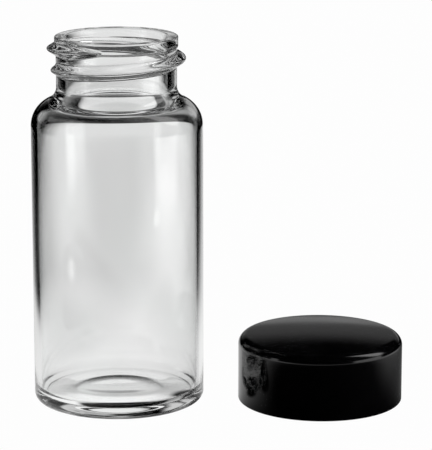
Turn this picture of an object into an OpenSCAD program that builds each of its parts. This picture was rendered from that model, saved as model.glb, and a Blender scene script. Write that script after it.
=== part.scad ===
// Screw-neck glass sample vial, open, with its screw cap standing beside it.
// The origin is the middle of the vial's base, on the surface that both stand on.

/* [Vial body] */
// Outside diameter of the body
body_d = 27; // [24:0.5:34]
// Height from the base to the lip
vial_h = 58.4; // [45:0.2:80]
// Thickness of the body's wall
wall = 1; // [0.8:0.1:1.8]
// Thickness of the floor
floor_t = 1.6; // [1:0.1:3]
// Outside radius where the wall turns under
heel_r = 1.3; // [0.8:0.1:2]
// Inside radius between the wall and the floor
floor_corner_r = 1.5; // [1:0.1:3]
// Diameter of the hollow pushed up under the base
push_up_d = 17; // [10:0.2:18]
// Height of that hollow at its middle
push_up_h = 0.9; // [0.3:0.1:1.4]
// Height of the crown that it leaves on the floor inside
floor_crown_h = 1.1; // [0.3:0.1:1.4]
// Width inside that diameter over which the hollow and the crown ease into the flat round them
push_up_ease = 1.6; // [0.4:0.1:2]

/* [Shoulder and neck] */
// Outside radius of the shoulder
shoulder_r = 4.5; // [3:0.1:6]
// Thickness of the wall across the top of the shoulder
shoulder_wall = 1.2; // [0.8:0.1:1.8]
// Height of the neck above the shoulder
neck_h = 9.6; // [8.6:0.1:14]
// Outside diameter of the neck
neck_d = 18.9; // [17.6:0.1:20]
// Outside radius where the shoulder runs into the neck
neck_fillet_r = 2.2; // [1:0.1:2.8]
// Bore of the mouth
mouth_d = 16; // [13:0.1:16.4]
// How far the lip stands out from the neck
lip_out = 0.2; // [0.1:0.05:0.4]
// Height of the lip
lip_h = 1.8; // [1.1:0.1:2.2]
// Rounding of the lip's edges
lip_edge_r = 0.25; // [0.1:0.05:0.5]

/* [Thread] */
// How far the glass thread stands out from the neck
thread_depth = 1.4; // [1:0.05:1.8]
// Rise of the thread in one turn
thread_pitch = 3.175; // [2.8:0.025:3.6]
// Turns of the glass thread
thread_turns = 1.3; // [1:0.05:1.5]
// Width of the glass thread at its root
thread_w = 2.6; // [1.6:0.1:2.8]
// Depth of the thread's upper end below the top of the lip
thread_drop = 1.15; // [0.95:0.05:1.6]
// Angle that the thread's upper end points to, seen from above
thread_end_deg = 270; // [0:1:359]

/* [Cap] */
// Thickness of the cap's skirt outside its thread
cap_wall = 1.95; // [1.4:0.05:3]
// Thickness of the cap's top at its middle
cap_top_t = 1.4; // [1.3:0.05:3]
// Height of the dome on the cap's top
cap_dome_h = 0.7; // [0.3:0.1:1]
// Rounding of the cap's top edge
cap_edge_r = 1.5; // [0.4:0.1:1.8]
// Rounding of the cap's rim
cap_rim_r = 0.35; // [0.1:0.05:0.6]
// Turns of the cap's thread
cap_thread_turns = 1.4; // [1:0.05:1.5]
// Space from the cap's rim to the shoulder when it is screwed down
rim_gap = 1.05; // [0.4:0.05:1.6]
// Radial space between the cap's thread and the neck's
thread_gap = 0.25; // [0.15:0.05:0.4]
// Space along the axis between the flanks of the two threads, halfway up
flank_gap = 0.5; // [0.3:0.05:0.6]

/* [Liner] */
// Thickness of the sealing disc
liner_t = 1; // [0.6:0.1:1.5]
// Space between the disc and the cap, all round and above
liner_gap = 0.15; // [0.1:0.05:0.25]

/* [Arrangement] */
// Clear space on the table between the vial and the cap
cap_gap = 5.55; // [3:0.05:30]
// How far the cap stands forward of the vial
cap_forward = 0.8; // [-10:0.1:10]

/* [Hidden] */
$fn = 96;

body_r = body_d / 2;
cavity_r = body_r - wall;
neck_r = neck_d / 2;
mouth_r = mouth_d / 2;
lip_r = neck_r + lip_out;
push_up_r = push_up_d / 2;
dome_steps = 16;
ease_steps = 8;

// the shoulder's rounds on the two faces of the wall stand over each other
shoulder_top = vial_h - neck_h;
shoulder_x = body_r - shoulder_r;
shoulder_z = shoulder_top - shoulder_r;
ceiling_r = shoulder_r - wall;
ceiling_z = shoulder_top - shoulder_wall - ceiling_r;

// the throat's inner round is larger than the outer one, so the neck's wall thickens smoothly
throat_r = neck_fillet_r + (neck_r - mouth_r) / 4;

// a round of radius r that touches the wall at x = side and the shoulder's round of radius big
function fillet_x(side, r) = side + r;
function fillet_dx(side, r) = max(0, fillet_x(side, r) - shoulder_x);
function fillet_rise(side, r, big) = sqrt(pow(big + r, 2) - pow(fillet_dx(side, r), 2));

// the thread's heights, where the azimuth is 0
thread_start_deg = thread_end_deg - 360 * thread_turns;
thread_z = vial_h - thread_drop - thread_pitch * thread_end_deg / 360;
thread_crest_r = neck_r + thread_depth;
thread_sink = 0.3;
thread_step_deg = 9;
thread_fade_deg = 50;
thread_sides = 8;

// the cap's sizes follow the neck that it screws onto
cap_depth = neck_h - rim_gap;
cap_bore_r = thread_crest_r + thread_gap;
cap_crest_r = lip_r + thread_gap;
cap_r = cap_bore_r + cap_wall;
cap_ceiling = cap_depth + liner_t + liner_gap;
cap_h = cap_ceiling + cap_top_t;
cap_x = body_r + cap_gap + cap_r;
cap_y = -cap_forward;

// the cap's thread lies midway between the turns of the neck's when it is screwed down
seat_z = vial_h - cap_depth;
cap_thread_w = 2 * thread_pitch - 4 * flank_gap - thread_w;
cap_thread_z = thread_z - seat_z - thread_pitch / 2;
cap_thread_low = cap_rim_r + cap_thread_w / 2 + 0.3;
cap_thread_start_deg = 360 * (cap_thread_low - cap_thread_z) / thread_pitch;

// a round-topped ridge on a helix, whose ends sink into the wall it stands on
function eased(t) = t * t * (3 - 2 * t);
function fade(a, a0, a1) = eased(max(0, min(1, (a - a0) / thread_fade_deg, (a1 - a) / thread_fade_deg)));
function ridge_r(root_r, rise, f, u) =
    root_r + sign(rise) * ((abs(rise) + thread_sink) * f * (0.5 + 0.5 * cos(180 * u)) - thread_sink);
function ridge_ring(root_r, rise, z, w, f) = concat(
    [[root_r - 2 * sign(rise) * thread_sink, z - w / 2]],
    [for (k = [0:thread_sides])
        let (u = 2 * k / thread_sides - 1)
        [ridge_r(root_r, rise, f, u), z + u * w / 2]],
    [[root_r - 2 * sign(rise) * thread_sink, z + w / 2]]);

module helical_ridge(root_r, rise, z0, w, start_deg, turns) {
    end_deg = start_deg + 360 * turns;
    rings = ceil((end_deg - start_deg) / thread_step_deg);
    count = thread_sides + 3;
    points = [for (i = [0:rings])
        let (a = start_deg + (end_deg - start_deg) * i / rings,
             f = fade(a, start_deg, end_deg),
             z = z0 + thread_pitch * a / 360)
        for (p = ridge_ring(root_r, rise, z, w * (0.4 + 0.6 * f), f))
        [p[0] * cos(a), p[0] * sin(a), p[1]]];
    sides = [for (i = [0:rings - 1], k = [0:count - 1])
        let (a = i * count + k, b = i * count + (k + 1) % count)
        [a, b, b + count, a + count]];
    first = [for (k = [count - 1:-1:0]) k];
    last = [for (k = [0:count - 1]) rings * count + k];
    turned = concat(sides, [first], [last]);
    faces = rise > 0 ? turned : [for (face = turned) [for (k = [len(face) - 1:-1:0]) face[k]]];
    polyhedron(points = points, faces = faces, convexity = 6);
}

// a square-cornered block in section, from the axis out to r, between two heights
module block(r, low, high) {
    translate([0, low]) square([r, high - low]);
}

// the same with its lower, then its upper outer corner rounded
module rounded_block(r, low, high, low_r, high_r) {
    block(r, low + low_r, high - high_r);
    block(r - low_r, low, low + low_r + 0.01);
    block(r - high_r, high - high_r - 0.01, high);
    translate([r - low_r, low + low_r]) circle(r = low_r);
    translate([r - high_r, high - high_r]) circle(r = high_r);
}

// the corner that is taken off to round an inner edge of radius r at a top face
module inner_corner(r, top, edge) {
    difference() {
        translate([r - 1, top - edge]) square([1 + edge, edge + 1]);
        translate([r + edge, top - edge]) circle(r = edge);
    }
}

// the radius of a shallow dome of half width r, and its height above its centre at x
function dome_radius(r, rise) = (r * r + rise * rise) / (2 * rise);
function dome_height(r, rise, x) = sqrt(pow(dome_radius(r, rise), 2) - x * x);

// section of a shallow dome of half width r, whose foot eases into the flat that it stands on
module eased_dome(r, low, rise) {
    start_x = r - push_up_ease;
    start_z = dome_height(r, rise, start_x) - dome_radius(r, rise) + rise;
    reach = start_z * dome_height(r, rise, start_x) / start_x;
    polygon(concat(
        [[0, low]],
        [for (i = [0:dome_steps]) let (x = start_x * i / dome_steps)
            [x, low + rise - dome_radius(r, rise) + dome_height(r, rise, x)]],
        [for (i = [1:ease_steps]) let (t = i / ease_steps)
            [start_x + 2 * reach * t, low + start_z * pow(1 - t, 2)]]));
}

// section of a round body with a shoulder, whose round is centred at height mid, and a narrower neck
module necked_section(r, low, low_r, side, top, big, small, mid) {
    fx = fillet_x(side, small);
    fz = mid + fillet_rise(side, small, big);
    reach = fillet_dx(side, small) * big / (big + small);
    block(r, low + low_r, mid);
    block(r - low_r, low, mid);
    translate([r - low_r, low + low_r]) circle(r = low_r);
    intersection() {
        translate([shoulder_x, mid]) circle(r = big);
        block(r + 1, mid - 0.01, mid + big + 1);
    }
    block(shoulder_x, mid - 0.01, mid + big);
    block(side, mid, top);
    difference() {
        polygon([[0, mid], [shoulder_x, mid],
                 [shoulder_x + reach, mid + sqrt(big * big - reach * reach)],
                 [fx, fz], [side, fz], [0, fz]]);
        translate([fx, fz]) circle(r = small);
    }
}

module vial_section() {
    difference() {
        union() {
            necked_section(body_r, 0, heel_r, neck_r, vial_h - lip_h / 2,
                           shoulder_r, neck_fillet_r, shoulder_z);
            rounded_block(lip_r, vial_h - lip_h, vial_h, lip_edge_r, lip_edge_r);
        }
        difference() {
            necked_section(cavity_r, floor_t, floor_corner_r, mouth_r, vial_h + 1,
                           ceiling_r, throat_r, ceiling_z);
            eased_dome(push_up_r, floor_t, floor_crown_h);
        }
        eased_dome(push_up_r, 0, push_up_h);
        inner_corner(mouth_r, vial_h, lip_edge_r);
    }
}

module glass_vial() {
    color([0.80, 0.86, 0.87, 0.45]) union() {
        rotate_extrude() vial_section();
        helical_ridge(neck_r, thread_depth, thread_z, thread_w, thread_start_deg, thread_turns);
    }
}

// section of the cap's outside: a plain skirt under a dome, with rounded edges
module cap_outside() {
    dome_r = dome_radius(cap_r, cap_dome_h);
    dome_z = cap_h - dome_r;
    edge_x = cap_r - cap_edge_r;
    edge_z = dome_z + sqrt(pow(dome_r - cap_edge_r, 2) - edge_x * edge_x);
    touch = edge_x * dome_r / (dome_r - cap_edge_r);
    rounded_block(cap_r, 0, edge_z, cap_rim_r, 0.01);
    translate([edge_x, edge_z]) circle(r = cap_edge_r);
    intersection() {
        translate([0, dome_z]) circle(r = dome_r, $fn = 720);
        block(touch, edge_z - 0.5, cap_h + 1);
    }
}

module screw_cap() {
    color([0.05, 0.05, 0.055]) translate([cap_x, cap_y, 0]) union() {
        rotate_extrude() difference() {
            cap_outside();
            block(cap_bore_r, -1, cap_ceiling);
        }
        helical_ridge(cap_bore_r, cap_crest_r - cap_bore_r, cap_thread_z, cap_thread_w,
                      cap_thread_start_deg, cap_thread_turns);
    }
}

module cap_liner() {
    color([0.88, 0.87, 0.83])
        translate([cap_x, cap_y, cap_depth])
            cylinder(r = cap_bore_r - liner_gap, h = liner_t);
}

glass_vial();
screw_cap();
cap_liner();
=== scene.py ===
"""Glass sample vial with its screw cap beside it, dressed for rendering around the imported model."""
import math

import bpy
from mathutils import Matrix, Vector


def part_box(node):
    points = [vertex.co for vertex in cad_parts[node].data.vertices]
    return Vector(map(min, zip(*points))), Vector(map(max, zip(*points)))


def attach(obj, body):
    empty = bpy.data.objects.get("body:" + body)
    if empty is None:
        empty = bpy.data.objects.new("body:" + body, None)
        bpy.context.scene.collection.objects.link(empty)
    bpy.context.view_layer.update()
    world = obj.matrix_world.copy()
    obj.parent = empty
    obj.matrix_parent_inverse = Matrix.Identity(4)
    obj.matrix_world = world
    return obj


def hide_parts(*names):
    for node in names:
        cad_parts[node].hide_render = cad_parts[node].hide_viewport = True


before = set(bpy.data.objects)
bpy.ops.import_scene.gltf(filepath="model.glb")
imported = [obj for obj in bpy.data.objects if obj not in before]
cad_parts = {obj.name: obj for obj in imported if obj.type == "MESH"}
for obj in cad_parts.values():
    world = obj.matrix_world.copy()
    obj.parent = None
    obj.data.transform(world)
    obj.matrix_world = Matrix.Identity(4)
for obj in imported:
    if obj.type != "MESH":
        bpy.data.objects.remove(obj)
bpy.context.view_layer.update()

MM = 0.001

# ---------------------------------------------------------------- sizes, in millimetres


def box_mm(node):
    """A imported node's lowest and highest corners."""
    low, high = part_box(node)
    return [v / MM for v in low], [v / MM for v in high]


VIAL_LOW, VIAL_HIGH = box_mm("glass_vial")
CAP_LOW, CAP_HIGH = box_mm("screw_cap")
LINER_LOW, LINER_HIGH = box_mm("cap_liner")

# the vial's body, and the base: domed up underneath, crowned inside
BODY_R = (VIAL_HIGH[1] - VIAL_LOW[1]) / 2
VIAL_H = VIAL_HIGH[2]
WALL = 1.0
FLOOR_T = 1.6
HEEL_R = 1.3
FLOOR_CORNER_R = 1.5
PUSH_UP_R = 8.5
PUSH_UP_H = 0.9
FLOOR_CROWN_H = 1.1
PUSH_UP_EASE = 1.6

# the shoulder and the neck, whose inner rounds follow the outer ones
SHOULDER_R = 4.5
SHOULDER_WALL = 1.2
NECK_H = 9.6
NECK_R = 9.45
NECK_FILLET_R = 2.2
MOUTH_R = 8.0
LIP_OUT = 0.2
LIP_H = 1.8
LIP_EDGE_R = 0.25
LIP_START_DEG = -70
CEILING_R = SHOULDER_R - WALL
THROAT_R = NECK_FILLET_R + (NECK_R - MOUTH_R) / 4

# the neck's thread: its upper end lies THREAD_DROP under the top of the lip, at the azimuth THREAD_END.
# Over THREAD_FADE degrees at each end its half width falls from the full share of its width to the tip's.
THREAD_DEPTH = 1.4
THREAD_PITCH = 3.175
THREAD_TURNS = 1.3
THREAD_W = 2.6
THREAD_DROP = 1.15
THREAD_END = 270.0
THREAD_FADE = 50.0
THREAD_Z = VIAL_H - THREAD_DROP - THREAD_PITCH * THREAD_END / 360
THREAD_TIP_SHARE = 0.2
THREAD_FULL_SHARE = 0.5

# the cap, and its thread, whose height is taken at azimuth 0 and whose lower end clears the rim's round
CAP_R = (CAP_HIGH[0] - CAP_LOW[0]) / 2
CAP_H = CAP_HIGH[2]
CAP_X = (CAP_LOW[0] + CAP_HIGH[0]) / 2
CAP_Y = (CAP_LOW[1] + CAP_HIGH[1]) / 2
CAP_WALL = 1.95
CAP_TOP_T = 1.4
CAP_DOME_H = 0.7
CAP_EDGE_R = 1.5
CAP_RIM_R = 0.35
CAP_CORNER_R = 0.4
CAP_THREAD_DEPTH = 1.2
CAP_THREAD_W = 1.75
CAP_THREAD_TURNS = 1.4
CAP_THREAD_Z = 3.4315
CAP_THREAD_CLEAR = 0.3
CAP_THREAD_LOW = CAP_RIM_R + CAP_THREAD_W / 2 + CAP_THREAD_CLEAR
CAP_THREAD_START = 360 * (CAP_THREAD_LOW - CAP_THREAD_Z) / THREAD_PITCH

LINER_R = (LINER_HIGH[0] - LINER_LOW[0]) / 2
LINER_EDGE_R = 0.12

# how finely the sections are drawn and turned: rows are the longest steps along straight parts
TURNED_SEGMENTS = 300
THREADED_ROW = 0.11
BODY_ROW = 2.0
BORE_ROW = 0.6
CAP_ROW = 0.8
CAP_TOP_ROW = 1.0
DOME_STEPS = 24
FOOT_STEPS = 12
ROUND_STEPS = 14
SHOULDER_STEPS = 22
THROAT_STEPS = 18
CAP_EDGE_STEPS = 16
CAP_DOME_STEPS = 40
CAP_CORNER_STEPS = 6
CAP_RIM_STEPS = (7, 8)
LIP_STEPS = 8
LIP_FOOT_STEPS = 5
LINER_EDGE_STEPS = 5
WELD = 0.0005

# ---------------------------------------------------------------- profiles


def arc(centre, radius, start, end, steps):
    """Points on an arc of a circle, from one angle to another in degrees."""
    return [
        (
            centre[0] + radius * math.cos(math.radians(start + (end - start) * i / steps)),
            centre[1] + radius * math.sin(math.radians(start + (end - start) * i / steps)),
        )
        for i in range(steps + 1)
    ]


def line(start, end, step):
    """Points on a straight line, both ends included, no further apart than step."""
    count = max(1, math.ceil(math.dist(start, end) / step))
    return [
        (start[0] + (end[0] - start[0]) * i / count, start[1] + (end[1] - start[1]) * i / count)
        for i in range(count + 1)
    ]


def dome_radius(half_width, rise):
    """The radius of a shallow dome of that half width and rise."""
    return (half_width**2 + rise**2) / (2 * rise)


def fillet(side, radius, shoulder, big):
    """Centre of the round between a wall and a shoulder's round, and the angle where they meet."""
    dx = side + radius - shoulder[0]
    dz = math.sqrt((big + radius) ** 2 - dx**2)
    return (side + radius, shoulder[1] + dz), math.degrees(math.atan2(dz, dx))


def eased_dome(low, rise):
    """The dome under the base or on the floor, from the axis out to its foot, which eases into the flat."""
    radius = dome_radius(PUSH_UP_R, rise)
    foot_start = PUSH_UP_R - PUSH_UP_EASE
    sweep = math.degrees(math.asin(foot_start / radius))
    dome = arc((0, low + rise - radius), radius, 90, 90 - sweep, DOME_STEPS)
    start = dome[-1]
    reach = (start[1] - low) / math.tan(math.radians(sweep))
    corner = (start[0] + reach, low)
    end = (corner[0] + reach, low)
    foot = []
    for i in range(1, FOOT_STEPS + 1):
        t = i / FOOT_STEPS
        ends = zip(start, corner, end)
        foot.append(tuple((1 - t) ** 2 * a + 2 * t * (1 - t) * b + t * t * c for a, b, c in ends))
    return dome + foot


def vial_profile():
    """The vial's section, from the axis under the base, up the outside and down the inside to the axis.

    Each point has a mark: 1 where the thread may rise from it, and 0 elsewhere.
    """
    cavity_r = BODY_R - WALL
    shoulder_top = VIAL_H - NECK_H
    shoulder_centre = (BODY_R - SHOULDER_R, shoulder_top - SHOULDER_R)
    ceiling_centre = (cavity_r - CEILING_R, shoulder_top - SHOULDER_WALL - CEILING_R)
    outer_centre, outer_angle = fillet(NECK_R, NECK_FILLET_R, shoulder_centre, SHOULDER_R)
    inner_centre, inner_angle = fillet(MOUTH_R, THROAT_R, ceiling_centre, CEILING_R)
    lip_r = NECK_R + LIP_OUT
    lip_z = VIAL_H - LIP_H

    under = eased_dome(0, PUSH_UP_H)
    heel = arc((BODY_R - HEEL_R, HEEL_R), HEEL_R, -90, 0, ROUND_STEPS)
    outside = line((BODY_R, HEEL_R), (BODY_R, shoulder_centre[1]), BODY_ROW)[1:-1]
    shoulder = arc(shoulder_centre, SHOULDER_R, 0, outer_angle, SHOULDER_STEPS)
    neck_round = arc(outer_centre, NECK_FILLET_R, 180 + outer_angle, 180, ROUND_STEPS)[1:]
    neck = line((NECK_R, outer_centre[1]), (NECK_R, lip_z), THREADED_ROW)[1:]
    lip_edge = (lip_r - LIP_EDGE_R, VIAL_H - LIP_EDGE_R)
    lip_foot = (lip_edge[0], lip_z + LIP_EDGE_R)
    lip_inner_edge = (MOUTH_R + LIP_EDGE_R, VIAL_H - LIP_EDGE_R)
    lip_face = arc(lip_foot, LIP_EDGE_R, LIP_START_DEG, 0, LIP_FOOT_STEPS)
    lip_face += line((lip_r, lip_foot[1]), (lip_r, lip_edge[1]), THREADED_ROW)[1:-1]
    lip = arc(lip_edge, LIP_EDGE_R, 0, 90, LIP_STEPS)
    lip += arc(lip_inner_edge, LIP_EDGE_R, 90, 180, LIP_STEPS)
    bore = line((MOUTH_R, lip_inner_edge[1]), (MOUTH_R, inner_centre[1]), BORE_ROW)[1:-1]
    throat = arc(inner_centre, THROAT_R, 180, 180 + inner_angle, THROAT_STEPS)
    ceiling = arc(ceiling_centre, CEILING_R, inner_angle, 0, THROAT_STEPS)[1:]
    corner_centre = (cavity_r - FLOOR_CORNER_R, FLOOR_T + FLOOR_CORNER_R)
    inside = line((cavity_r, ceiling_centre[1]), (cavity_r, corner_centre[1]), BODY_ROW)[1:-1]
    corner = arc(corner_centre, FLOOR_CORNER_R, 0, -90, ROUND_STEPS)
    crown = eased_dome(FLOOR_T, FLOOR_CROWN_H)
    below = under + heel + outside + shoulder
    threaded = neck_round + neck + lip_face
    rest = lip + bore + throat + ceiling + inside + corner + crown[::-1]
    marks = [0.0] * len(below) + [1.0] * len(threaded) + [0.0] * len(rest)
    return below + threaded + rest, marks


def cap_profile():
    """The cap's section and its marks, from the axis inside its top, down its bore and up its outside."""
    bore_r = CAP_R - CAP_WALL
    ceiling = CAP_H - CAP_TOP_T
    dome_r = dome_radius(CAP_R, CAP_DOME_H)
    dome_z = CAP_H - dome_r
    edge_x = CAP_R - CAP_EDGE_R
    edge_z = dome_z + math.sqrt((dome_r - CAP_EDGE_R) ** 2 - edge_x**2)
    edge_angle = math.degrees(math.atan2(edge_z - dome_z, edge_x))

    corner_centre = (bore_r - CAP_CORNER_R, ceiling - CAP_CORNER_R)
    top_inside = line((0, ceiling), (corner_centre[0], ceiling), CAP_TOP_ROW)
    inner_corner = arc(corner_centre, CAP_CORNER_R, 90, 0, CAP_CORNER_STEPS)[1:]
    bore = line((bore_r, corner_centre[1]), (bore_r, CAP_RIM_R), THREADED_ROW)[1:-1]
    rim = arc((bore_r + CAP_RIM_R, CAP_RIM_R), CAP_RIM_R, 180, 270, CAP_RIM_STEPS[0])
    rim += arc((CAP_R - CAP_RIM_R, CAP_RIM_R), CAP_RIM_R, 270, 360, CAP_RIM_STEPS[1])
    skirt = line((CAP_R, CAP_RIM_R), (CAP_R, edge_z), CAP_ROW)[1:-1]
    edge = arc((edge_x, edge_z), CAP_EDGE_R, 0, edge_angle, CAP_EDGE_STEPS)
    dome = arc((0, dome_z), dome_r, edge_angle, 90, CAP_DOME_STEPS)[1:]
    before = top_inside + inner_corner
    points = before + bore + rim + skirt + edge + dome
    marks = [0.0] * len(before) + [1.0] * len(bore) + [0.0] * (len(points) - len(before) - len(bore))
    return points, marks


def liner_profile():
    """The sealing disc's section and its marks, from the axis under it round its edge to the axis above."""
    low, high = LINER_LOW[2], LINER_HIGH[2]
    edge = LINER_R - LINER_EDGE_R
    points = line((0, low), (edge, low), CAP_ROW)
    points += arc((edge, low + LINER_EDGE_R), LINER_EDGE_R, -90, 0, LINER_EDGE_STEPS)[1:]
    points += arc((edge, high - LINER_EDGE_R), LINER_EDGE_R, 0, 90, LINER_EDGE_STEPS)
    points += line((edge, high), (0, high), CAP_ROW)[1:]
    return points, [0.0] * len(points)


# ---------------------------------------------------------------- node helpers


class Sheet:
    """A node tree that is laid out by calls."""

    def __init__(self, tree):
        self.tree = tree

    def add(self, kind, settings=None, inputs=None):
        """A node with its settings, and its inputs set to numbers or joined to sockets."""
        node = self.tree.nodes.new(kind)
        for name, value in (settings or {}).items():
            setattr(node, name, value)
        for name, value in (inputs or {}).items():
            self.put(node.inputs[name], value)
        return node

    def put(self, socket, value):
        """Sets a socket, or joins it to another."""
        if isinstance(value, bpy.types.NodeSocket):
            self.tree.links.new(value, socket)
        else:
            socket.default_value = value

    def math(self, operation, *values, clamp=False):
        """The result of a math node on numbers or sockets."""
        node = self.tree.nodes.new("ShaderNodeMath")
        node.operation = operation
        node.use_clamp = clamp
        for socket, value in zip(node.inputs, values):
            self.put(socket, value)
        return node.outputs[0]


# ---------------------------------------------------------------- turned forms

TURNED_INPUTS = {
    "Segments": "NodeSocketInt",
    "Centre": "NodeSocketVector",
    "Thread Root": "NodeSocketFloat",
    "Thread Depth": "NodeSocketFloat",
    "Thread Width": "NodeSocketFloat",
    "Thread Pitch": "NodeSocketFloat",
    "Thread Height": "NodeSocketFloat",
    "Thread Start": "NodeSocketFloat",
    "Thread End": "NodeSocketFloat",
    "Thread Fade": "NodeSocketFloat",
    "Finish": "NodeSocketMaterial",
}


def thread_offset(sheet, angle_turns, height, given):
    """The thread's rise from its root at an azimuth, in turns, and a height: a round ridge on a helix."""
    m = sheet.math
    rise = m("DIVIDE", m("SUBTRACT", height, given["Thread Height"]), given["Thread Pitch"])
    whole = m("ROUND", m("SUBTRACT", rise, angle_turns))
    turn = m("ADD", angle_turns, whole)
    degrees = m("MULTIPLY", turn, 360.0)
    from_start = m("SUBTRACT", degrees, given["Thread Start"])
    to_end = m("SUBTRACT", given["Thread End"], degrees)
    nearest = m("DIVIDE", m("MINIMUM", from_start, to_end), given["Thread Fade"], clamp=True)
    fade = m("MULTIPLY", m("MULTIPLY", nearest, nearest), m("SUBTRACT", 3.0, m("MULTIPLY", nearest, 2.0)))
    across = m("MULTIPLY", m("SUBTRACT", rise, turn), given["Thread Pitch"])
    growth = m("MULTIPLY", fade, THREAD_FULL_SHARE - THREAD_TIP_SHARE)
    half_width = m("MULTIPLY", given["Thread Width"], m("ADD", THREAD_TIP_SHARE, growth))
    place = m("MINIMUM", m("ABSOLUTE", m("DIVIDE", across, half_width)), 1.0)
    wave = m("ADD", 0.5, m("MULTIPLY", m("COSINE", m("MULTIPLY", place, math.pi)), 0.5))
    return m("MULTIPLY", m("MULTIPLY", wave, fade), given["Thread Depth"])


def turned_form_tree():
    """Turns a section about a centre and raises a helical thread where the section is marked for one."""
    tree = bpy.data.node_groups.new("Turned form", "GeometryNodeTree")
    tree.interface.new_socket("Section", in_out="INPUT", socket_type="NodeSocketGeometry")
    for name, kind in TURNED_INPUTS.items():
        tree.interface.new_socket(name, in_out="INPUT", socket_type=kind)
    tree.interface.new_socket("Form", in_out="OUTPUT", socket_type="NodeSocketGeometry")
    sheet = Sheet(tree)
    m = sheet.math
    given = sheet.add("NodeGroupInput").outputs
    rows = sheet.add("GeometryNodeAttributeDomainSize", inputs={"Geometry": given["Section"]})
    rows = rows.outputs["Point Count"]
    columns = m("ADD", given["Segments"], 1.0)
    grid = sheet.add("GeometryNodeMeshGrid", inputs={"Vertices X": columns, "Vertices Y": rows})
    index = sheet.add("GeometryNodeInputIndex").outputs[0]
    column = m("FLOOR", m("DIVIDE", m("ADD", index, 0.5), rows))
    row = m("SUBTRACT", index, m("MULTIPLY", column, rows))
    turns = m("DIVIDE", column, given["Segments"])
    where = sheet.add("GeometryNodeInputPosition").outputs[0]
    place = sheet.add(
        "GeometryNodeSampleIndex",
        {"data_type": "FLOAT_VECTOR"},
        {"Geometry": given["Section"], "Value": where, "Index": row},
    )
    marked = sheet.add("GeometryNodeInputNamedAttribute", {"data_type": "FLOAT"}, {"Name": "threaded"})
    mark = sheet.add(
        "GeometryNodeSampleIndex",
        {"data_type": "FLOAT"},
        {"Geometry": given["Section"], "Value": marked.outputs["Attribute"], "Index": row},
    )
    point = sheet.add("ShaderNodeSeparateXYZ", inputs={"Vector": place.outputs[0]}).outputs
    crest = m("ADD", given["Thread Root"], thread_offset(sheet, turns, point["Z"], given))
    side = m("SIGN", given["Thread Depth"])
    proud = m("MAXIMUM", m("MULTIPLY", side, m("SUBTRACT", crest, point["X"])), 0.0)
    radius = m("ADD", point["X"], m("MULTIPLY", m("MULTIPLY", proud, side), mark.outputs[0]))
    azimuth = m("MULTIPLY", turns, math.tau)
    turned = sheet.add(
        "ShaderNodeCombineXYZ",
        inputs={
            "X": m("MULTIPLY", radius, m("COSINE", azimuth)),
            "Y": m("MULTIPLY", radius, m("SINE", azimuth)),
            "Z": point["Z"],
        },
    )
    moved = sheet.add("ShaderNodeVectorMath", {"operation": "ADD"})
    sheet.put(moved.inputs[0], turned.outputs[0])
    sheet.put(moved.inputs[1], given["Centre"])
    shaped = sheet.add(
        "GeometryNodeSetPosition", inputs={"Geometry": grid.outputs["Mesh"], "Position": moved.outputs[0]}
    )
    closed = sheet.add(
        "GeometryNodeMergeByDistance", inputs={"Geometry": shaped.outputs[0], "Distance": WELD * MM}
    )
    smooth = sheet.add("GeometryNodeSetShadeSmooth", inputs={"Geometry": closed.outputs[0]})
    real = sheet.add("GeometryNodeRealizeInstances", inputs={"Geometry": smooth.outputs[0]})
    finish = sheet.add(
        "GeometryNodeSetMaterial", inputs={"Geometry": real.outputs[0], "Material": given["Finish"]}
    )
    sheet.put(sheet.add("NodeGroupOutput").inputs["Form"], finish.outputs[0])
    return tree


TURNED_FORM = turned_form_tree()


def turned_piece(name, profile, sizes, finish):
    """A piece made by turning a profile, as a plain mesh, with its thread where the profile is marked."""
    points, marks = profile
    section = bpy.data.meshes.new(name + "_section")
    section.from_pydata(
        [(r * MM, 0, z * MM) for r, z in points], [(i, i + 1) for i in range(len(points) - 1)], []
    )
    section.attributes.new("threaded", "FLOAT", "POINT").data.foreach_set("value", marks)
    maker = bpy.data.objects.new(name + "_section", section)
    bpy.context.scene.collection.objects.link(maker)
    modifier = maker.modifiers.new("Turned form", "NODES")
    modifier.node_group = TURNED_FORM
    values = {"Segments": TURNED_SEGMENTS, "Finish": finish, "Thread Fade": THREAD_FADE, **sizes}
    for item in TURNED_FORM.interface.items_tree:
        if item.item_type == "SOCKET" and item.in_out == "INPUT" and item.name in values:
            modifier[item.identifier] = values[item.name]
    graph = bpy.context.evaluated_depsgraph_get()
    mesh = bpy.data.meshes.new_from_object(maker.evaluated_get(graph))
    mesh.name = name
    bpy.data.objects.remove(maker)
    piece = bpy.data.objects.new(name, mesh)
    bpy.context.scene.collection.objects.link(piece)
    return piece


# ---------------------------------------------------------------- finishes

NOISE_RANGE = (0.3, 0.7)
DRAW_SCALE = 260.0
DRAW_STRETCH = 0.06
GLASS_IOR = 1.5
GLASS_TINT = (0.985, 0.995, 0.99)
GLASS_CLEAR = (1.0, 1.0, 1.0)
PLASTIC_IOR = 1.5
PLASTIC_DARK = (0.004, 0.004, 0.0045)
PLASTIC_LIGHT = (0.008, 0.008, 0.009)
PLASTIC_ROUGHNESS = (0.07, 0.12)
FOAM_DARK = (0.74, 0.72, 0.66)
FOAM_LIGHT = (0.84, 0.83, 0.79)
FOAM_ROUGHNESS = (0.5, 0.68)


def new_finish(name):
    """A material with a surface shader and no more yet, the sheet of its nodes, and that shader."""
    finish = bpy.data.materials.new(name)
    finish.use_nodes = True
    finish.node_tree.nodes.clear()
    sheet = Sheet(finish.node_tree)
    shader = sheet.add("ShaderNodeBsdfPrincipled")
    sheet.add("ShaderNodeOutputMaterial", inputs={"Surface": shader.outputs[0]})
    return finish, sheet, shader


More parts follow.
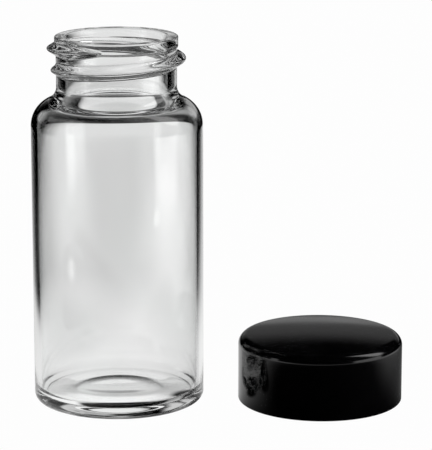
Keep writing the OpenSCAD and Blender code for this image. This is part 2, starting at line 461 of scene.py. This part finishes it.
def noise(sheet, place, scale, detail):
    """A noise value at a place."""
    inputs = {"Vector": place, "Scale": scale, "Detail": detail}
    return sheet.add("ShaderNodeTexNoise", inputs=inputs).outputs["Fac"]


def grain_group():
    """A fine grain over slow unevenness, which several finishes share."""
    tree = bpy.data.node_groups.new("Grain", "ShaderNodeTree")
    for name in ("Fine Scale", "Slow Scale", "Fine Share"):
        tree.interface.new_socket(name, in_out="INPUT", socket_type="NodeSocketFloat")
    tree.interface.new_socket("Height", in_out="OUTPUT", socket_type="NodeSocketFloat")
    tree.interface.new_socket("Slow", in_out="OUTPUT", socket_type="NodeSocketFloat")
    sheet = Sheet(tree)
    given = sheet.add("NodeGroupInput").outputs
    place = sheet.add("ShaderNodeTexCoord").outputs["Object"]
    fine = noise(sheet, place, given["Fine Scale"], 3.0)
    slow = noise(sheet, place, given["Slow Scale"], 2.0)
    mixed = sheet.math(
        "ADD",
        sheet.math("MULTIPLY", fine, given["Fine Share"]),
        sheet.math("MULTIPLY", slow, sheet.math("SUBTRACT", 1.0, given["Fine Share"])),
    )
    out = sheet.add("NodeGroupOutput")
    sheet.put(out.inputs["Height"], mixed)
    sheet.put(out.inputs["Slow"], slow)
    return tree


GRAIN = grain_group()


def use_grain(sheet, fine, slow, share):
    """Places the grain group in a finish with its own values."""
    node = sheet.add("ShaderNodeGroup", {"node_tree": GRAIN})
    for name, value in (("Fine Scale", fine), ("Slow Scale", slow), ("Fine Share", share)):
        node.inputs[name].default_value = value
    return node.outputs


def blended(sheet, mask, low, high):
    """A colour between two, by a mask."""
    mix = sheet.add("ShaderNodeMix", {"data_type": "RGBA"})
    sheet.put(mix.inputs[0], mask)
    mix.inputs["A"].default_value = (*low, 1)
    mix.inputs["B"].default_value = (*high, 1)
    return mix.outputs["Result"]


def spread(sheet, value, low, high):
    """Takes a noise value from its usual middle range to another range."""
    node = sheet.add("ShaderNodeMapRange", {"clamp": True})
    ends = (*NOISE_RANGE, low, high)
    for name, number in zip(("From Min", "From Max", "To Min", "To Max"), ends):
        node.inputs[name].default_value = number
    sheet.put(node.inputs["Value"], value)
    return node.outputs[0]


def bumped(sheet, shader, height, strength, depth):
    """Gives a finish its surface relief, of a depth in millimetres."""
    inputs = {"Strength": strength, "Distance": depth * MM, "Height": height}
    sheet.put(shader.inputs["Normal"], sheet.add("ShaderNodeBump", inputs=inputs).outputs[0])


def clear_glass():
    """Clear drawn glass: faint draw lines along the body and a slow unevenness."""
    finish, sheet, shader = new_finish("Clear drawn glass")
    place = sheet.add("ShaderNodeTexCoord").outputs["Object"]
    drawn = sheet.add("ShaderNodeMapping", inputs={"Vector": place, "Scale": (1.0, 1.0, DRAW_STRETCH)})
    lines = noise(sheet, drawn.outputs[0], DRAW_SCALE, 2.0)
    grain = use_grain(sheet, fine=420.0, slow=90.0, share=0.1)
    height = sheet.math("ADD", sheet.math("MULTIPLY", lines, 0.5), grain["Height"])
    bumped(sheet, shader, height, strength=0.25, depth=0.02)
    cast = spread(sheet, grain["Slow"], 0.0, 1.0)
    sheet.put(shader.inputs["Base Color"], blended(sheet, cast, GLASS_TINT, GLASS_CLEAR))
    shader.inputs["Roughness"].default_value = 0.0
    shader.inputs["IOR"].default_value = GLASS_IOR
    shader.inputs["Transmission Weight"].default_value = 1.0
    return finish


def black_plastic():
    """Glossy black moulded plastic, with slow flow marks and faint unevenness in its gloss."""
    finish, sheet, shader = new_finish("Black moulded plastic")
    grain = use_grain(sheet, fine=2600.0, slow=160.0, share=0.35)
    bumped(sheet, shader, grain["Height"], strength=0.2, depth=0.02)
    flow = spread(sheet, grain["Slow"], 0.0, 1.0)
    sheet.put(shader.inputs["Base Color"], blended(sheet, flow, PLASTIC_DARK, PLASTIC_LIGHT))
    sheet.put(shader.inputs["Roughness"], spread(sheet, grain["Slow"], *PLASTIC_ROUGHNESS))
    shader.inputs["IOR"].default_value = PLASTIC_IOR
    return finish


def foam_liner():
    """Off-white foamed liner, matt with fine cells."""
    finish, sheet, shader = new_finish("Off-white liner foam")
    grain = use_grain(sheet, fine=5200.0, slow=420.0, share=0.8)
    bumped(sheet, shader, grain["Height"], strength=0.5, depth=0.04)
    cells = spread(sheet, grain["Slow"], 0.0, 1.0)
    sheet.put(shader.inputs["Base Color"], blended(sheet, cells, FOAM_DARK, FOAM_LIGHT))
    sheet.put(shader.inputs["Roughness"], spread(sheet, grain["Height"], *FOAM_ROUGHNESS))
    return finish


# ---------------------------------------------------------------- studio

# the level that the table and the room show to the camera itself
WHITE = 0.985
# the table lies just under the vial, so their faces don't share a plane; its half width is in metres
TABLE_SINK = 0.05
TABLE_HALF = 3.0
# the camera: lens and sensor in millimetres, its place in millimetres and how far it looks down, in radians
LENS = 202.08
SENSOR_W = 36.0
CAMERA_PLACE = (15.50, -388.97, 118.03)
CAMERA_DOWN = 0.227
BOUNCES = 24
GLOSSY_BOUNCES = 16

# Soft oval spots of light and shade: middle, half widths, softness of the edge as a share of them, and level.
# A later spot covers an earlier one.
# Pools of painted light and painted shadow on the table, in millimetres from the vial's axis, to the right
# and away
# from the camera; the darkest, round the vial's base and in front of the cap, are painted contact shadow:
POOLS = (
    ((8, 330), (74, 240), 0.4, 0.8),
    ((5, 120), (46, 120), 0.4, 0.65),
    ((2, 28), (36, 34), 0.8, 0.92),
    ((-22, 42), (18, 30), 0.5, 0.7),
    ((13, 92), (9, 80), 0.6, 0.8),
    ((-215, 40), (110, 60), 0.5, 1.0),
    ((-110, -90), (100, 80), 0.5, 1.4),
    ((200, -20), (115, 110), 0.4, 1.4),
    ((30, -160), (120, 90), 0.4, 0.5),
    ((-40, -10), (35, 40), 0.5, 0.8),
    # painted shadow in front of the cap
    ((38, -32), (50, 28), 0.3, 0.0),
    # painted light and painted contact shadow under and round the vial's base
    ((0, 1), (12.5, 10.5), 0.2, 0.85),
    ((-1, -4.5), (9, 3.5), 0.3, 1.2),
    ((-1, 3.4), (4.5, 1.4), 0.3, 0.3),
    ((11.5, -3.5), (3.2, 3), 0.3, 0.0),
    ((2, -11.5), (9, 3.4), 0.15, 0.0),
    ((-9.5, -9), (3.6, 3), 0.3, 0.95),
    ((-94, -52), (9, 7), 0.5, 3.5),
)
# The rest of the table in front and at the sides, painted light which only glass lets through:
TABLE_FILLS = (
    ((0, -560), (900, 515), 0.05, 0.75),
    ((-480, -30), (430, 85), 0.2, 0.75),
    ((500, -30), (430, 85), 0.2, 0.75),
)
# Glows in the room that glass lets through, in degrees clockwise from straight behind and up from level:
ROOM_GLOWS = (
    ((0, 51), (27, 9), 0.3, 0.9),
    ((24, 15), (11, 7), 0.4, 0.55),
    ((10, 9), (9, 5), 0.4, 0.4),
    ((322, 17), (11, 8), 0.4, 0.6),
    ((302, 30), (12, 6), 0.4, 0.6),
    ((357, 18), (5, 4), 0.4, 0.95),
)
# What gloss mirrors of the same room, in the same degrees:
ROOM_SHEENS = (
    ((86, 44), (14, 24), 0.25, 3.0),
    ((4, 12), (22, 7), 0.5, 0.16),
    ((4, 7.5), (22, 2.5), 0.5, 0.45),
)


def smooth_step(sheet, value, start, end):
    """Rises smoothly from 0 where the value is start to 1 where it is end."""
    node = sheet.add("ShaderNodeMapRange", {"interpolation_type": "SMOOTHSTEP"}, {"Value": value})
    low, high = sorted((start, end))
    rising = float(end > start)
    for name, number in (("From Min", low), ("From Max", high), ("To Min", 1 - rising), ("To Max", rising)):
        node.inputs[name].default_value = number
    return node.outputs[0]


def soft_spots(sheet, across, along, spots, wrap=0.0):
    """Lays soft-edged oval spots over two coordinates, the first of which may wrap round."""
    m = sheet.math
    level = 0.0
    for middle, half, softness, spot_level in spots:
        u = m("SUBTRACT", across, float(middle[0]))
        if wrap:
            u = m("WRAP", u, wrap / 2, -wrap / 2)
        v = m("SUBTRACT", along, float(middle[1]))
        squares = [m("POWER", m("DIVIDE", offset, reach), 2.0) for offset, reach in zip((u, v), half)]
        cover = smooth_step(sheet, m("SQRT", m("ADD", *squares)), 1 + softness, 1 - softness)
        level = m("ADD", level, m("MULTIPLY", m("SUBTRACT", spot_level, level), cover))
    return level


def seen_or_lit(sheet, through, mirrored):
    """Pale when seen directly, and otherwise the level that glass lets through or gloss mirrors."""
    m = sheet.math
    path = sheet.add("ShaderNodeLightPath").outputs
    level = m("ADD", through, m("MULTIPLY", path["Is Reflection Ray"], m("SUBTRACT", mirrored, through)))
    return m("ADD", level, m("MULTIPLY", path["Is Camera Ray"], m("SUBTRACT", WHITE, level)))


def studio_floor():
    """A plain pale table, white to the camera, which glows to glass and gloss in soft painted pools of light
    and shadow, and is clear from below.
    """
    mesh = bpy.data.meshes.new("table")
    corners = [(-1, -1), (1, -1), (1, 1), (-1, 1)]
    points = [(x * TABLE_HALF, y * TABLE_HALF, -TABLE_SINK * MM) for x, y in corners]
    mesh.from_pydata(points, [], [(0, 1, 2, 3)])
    table = bpy.data.objects.new("table", mesh)
    bpy.context.scene.collection.objects.link(table)
    finish = bpy.data.materials.new("Table glow")
    finish.use_nodes = True
    finish.node_tree.nodes.clear()
    sheet = Sheet(finish.node_tree)
    geometry = sheet.add("ShaderNodeNewGeometry").outputs
    place = sheet.add("ShaderNodeVectorMath", {"operation": "SCALE"}, {"Scale": 1 / MM})
    sheet.put(place.inputs[0], geometry["Position"])
    x, y, _ = sheet.add("ShaderNodeSeparateXYZ", inputs={"Vector": place.outputs[0]}).outputs
    # painted light and painted shadow, which glass lets through and gloss mirrors
    through = soft_spots(sheet, x, y, TABLE_FILLS + POOLS)
    glow = seen_or_lit(sheet, through, soft_spots(sheet, x, y, POOLS))
    emission = sheet.add("ShaderNodeEmission", inputs={"Color": (1, 1, 1, 1), "Strength": glow})
    clear = sheet.add("ShaderNodeBsdfTransparent")
    mix = sheet.add("ShaderNodeMixShader", inputs={0: geometry["Backfacing"]})
    sheet.put(mix.inputs[1], emission.outputs[0])
    sheet.put(mix.inputs[2], clear.outputs[0])
    sheet.add("ShaderNodeOutputMaterial", inputs={"Surface": mix.outputs[0]})
    finish.cycles.emission_sampling = "NONE"
    mesh.materials.append(finish)


def studio_room():
    """A plain pale room with soft glows."""
    world = bpy.data.worlds.new("Room")
    world.use_nodes = True
    world.node_tree.nodes.clear()
    sheet = Sheet(world.node_tree)
    m = sheet.math
    direction = sheet.add("ShaderNodeTexCoord").outputs["Generated"]
    x, y, z = sheet.add("ShaderNodeSeparateXYZ", inputs={"Vector": direction}).outputs
    azimuth = m("MULTIPLY", m("ARCTAN2", x, y), math.degrees(1))
    height = m("MULTIPLY", m("ARCSINE", z), math.degrees(1))
    through = soft_spots(sheet, azimuth, height, ROOM_GLOWS, wrap=360.0)
    glow = seen_or_lit(sheet, through, soft_spots(sheet, azimuth, height, ROOM_SHEENS, wrap=360.0))
    back = sheet.add("ShaderNodeBackground", inputs={"Color": (1, 1, 1, 1), "Strength": glow})
    sheet.add("ShaderNodeOutputWorld", inputs={"Surface": back.outputs[0]})
    bpy.context.scene.world = world


def soft_box(name, azimuth, distance, size, middle, fade, level):
    """An upright soft box that faces the vial, at an azimuth in degrees from in front, positive to the right.

    Its light falls off smoothly over fade millimetres at each edge.
    """
    width, height = size
    a = math.radians(azimuth)
    light = bpy.data.lights.new(name, "AREA")
    light.shape = "RECTANGLE"
    light.size = width * MM
    light.size_y = height * MM
    light.energy = math.pi * width * height * MM * MM
    light.use_nodes = True
    light.node_tree.nodes.clear()
    sheet = Sheet(light.node_tree)
    m = sheet.math
    place = sheet.add("ShaderNodeNewGeometry").outputs["Position"]
    x, y, z = sheet.add("ShaderNodeSeparateXYZ", inputs={"Vector": place}).outputs
    across = m("ADD", m("MULTIPLY", x, math.cos(a) / MM), m("MULTIPLY", y, math.sin(a) / MM))
    up = m("SUBTRACT", m("MULTIPLY", z, 1 / MM), middle)
    strength = level
    for along, half in ((across, width / 2), (up, height / 2)):
        from_edge = m("SUBTRACT", half, m("ABSOLUTE", along))
        strength = m("MULTIPLY", smooth_step(sheet, from_edge, 0, fade), strength)
    glow = sheet.add("ShaderNodeEmission", inputs={"Strength": strength})
    sheet.add("ShaderNodeOutputLight", inputs={"Surface": glow.outputs[0]})
    lamp = bpy.data.objects.new(name, light)
    lamp.location = (distance * MM * math.sin(a), -distance * MM * math.cos(a), middle * MM)
    lamp.rotation_euler = (math.radians(90), 0, a)
    lamp.visible_camera = False
    bpy.context.scene.collection.objects.link(lamp)


def studio_camera():
    """A long lens, a little above the table and looking down at it."""
    view = bpy.data.cameras.new("camera")
    view.sensor_width = SENSOR_W
    view.lens = LENS
    view.clip_start = 0.01
    view.clip_end = 20.0
    camera = bpy.data.objects.new("camera", view)
    camera.location = [v * MM for v in CAMERA_PLACE]
    camera.rotation_euler = (math.pi / 2 - CAMERA_DOWN, 0, 0)
    bpy.context.scene.collection.objects.link(camera)
    bpy.context.scene.camera = camera


# ---------------------------------------------------------------- making

vial = turned_piece(
    "vial_glass",
    vial_profile(),
    {
        "Thread Root": NECK_R * MM,
        "Thread Depth": THREAD_DEPTH * MM,
        "Thread Width": THREAD_W * MM,
        "Thread Pitch": THREAD_PITCH * MM,
        "Thread Height": THREAD_Z * MM,
        "Thread Start": THREAD_END - 360 * THREAD_TURNS,
        "Thread End": THREAD_END,
    },
    clear_glass(),
)
cap = turned_piece(
    "cap_shell",
    cap_profile(),
    {
        "Centre": (CAP_X * MM, CAP_Y * MM, 0),
        "Thread Root": (CAP_R - CAP_WALL) * MM,
        "Thread Depth": -CAP_THREAD_DEPTH * MM,
        "Thread Width": CAP_THREAD_W * MM,
        "Thread Pitch": THREAD_PITCH * MM,
        "Thread Height": CAP_THREAD_Z * MM,
        "Thread Start": CAP_THREAD_START,
        "Thread End": CAP_THREAD_START + 360 * CAP_THREAD_TURNS,
    },
    black_plastic(),
)
liner = turned_piece(
    "liner_disc",
    liner_profile(),
    {
        "Centre": (CAP_X * MM, CAP_Y * MM, 0),
        # the liner has no thread, but the turned form divides by these two sizes
        "Thread Width": THREAD_W * MM,
        "Thread Pitch": THREAD_PITCH * MM,
    },
    foam_liner(),
)

for piece, node, body, slot in (
    (vial, "glass_vial", "vial", "clear_glass"),
    (cap, "screw_cap", "cap", "black_plastic"),
    (liner, "cap_liner", "liner", "liner"),
):
    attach(piece, body)
    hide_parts(node)

studio_floor()
studio_room()
soft_box("left soft box", azimuth=-61, distance=160, size=(46, 70), middle=33, fade=10, level=1.15)
soft_box("right soft box", azimuth=70, distance=130, size=(95, 44), middle=22, fade=14, level=1.5)
studio_camera()

scene = bpy.context.scene
scene.view_settings.view_transform = "Standard"
scene.cycles.max_bounces = BOUNCES
scene.cycles.glossy_bounces = GLOSSY_BOUNCES
scene.cycles.transmission_bounces = BOUNCES
